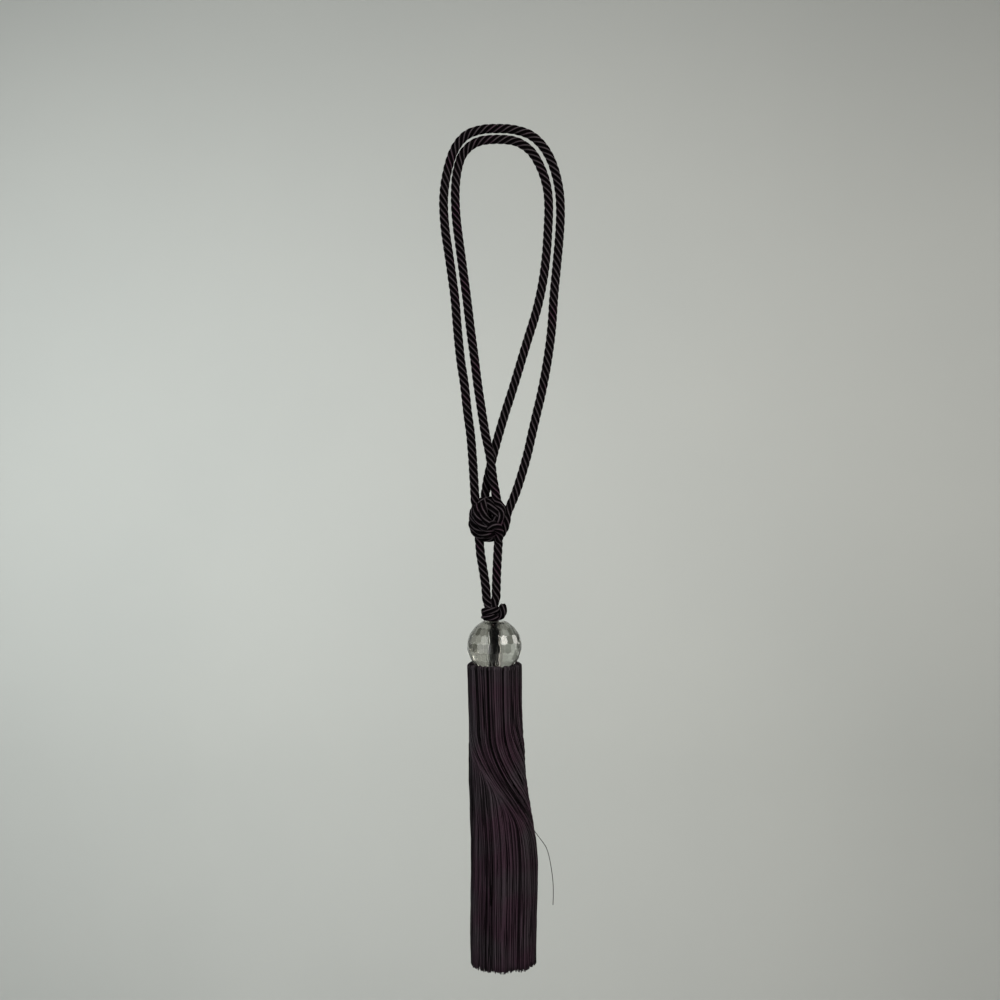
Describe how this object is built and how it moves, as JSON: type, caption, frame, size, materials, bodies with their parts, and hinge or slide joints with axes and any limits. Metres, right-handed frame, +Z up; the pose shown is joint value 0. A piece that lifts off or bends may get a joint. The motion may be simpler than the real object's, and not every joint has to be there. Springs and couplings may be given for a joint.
{
  "type": "curtain tieback tassel",
  "caption": "Looped twisted-cord curtain tieback with a wound knot, a clear faceted ball bead and a long yarn tassel skirt.",
  "frame": {"origin": "top of the loops, at the middle of their arch, where the tieback hangs", "axes": "+Z up along the hanging tieback, the front faces -Y, +X to the right as seen from the front"},
  "size_m": [0.0895, 0.0406, 0.5988],
  "materials": {
    "plum_cord": "satin twisted rayon cord, near-black plum",
    "plum_yarn": "silky rayon yarn, dark plum",
    "clear_acrylic": "clear, ground in facets and polished"
  },
  "bodies": {
    "root": {"loop_outer": "plum_cord", "loop_inner": "plum_cord", "slide_knot": "plum_cord", "neck_left": "plum_cord", "neck_right": "plum_cord", "collar_knot": "plum_cord", "bead_cord": "plum_cord", "crystal_ball": "clear_acrylic", "skirt": "plum_yarn"}
  },
  "joints": []
}
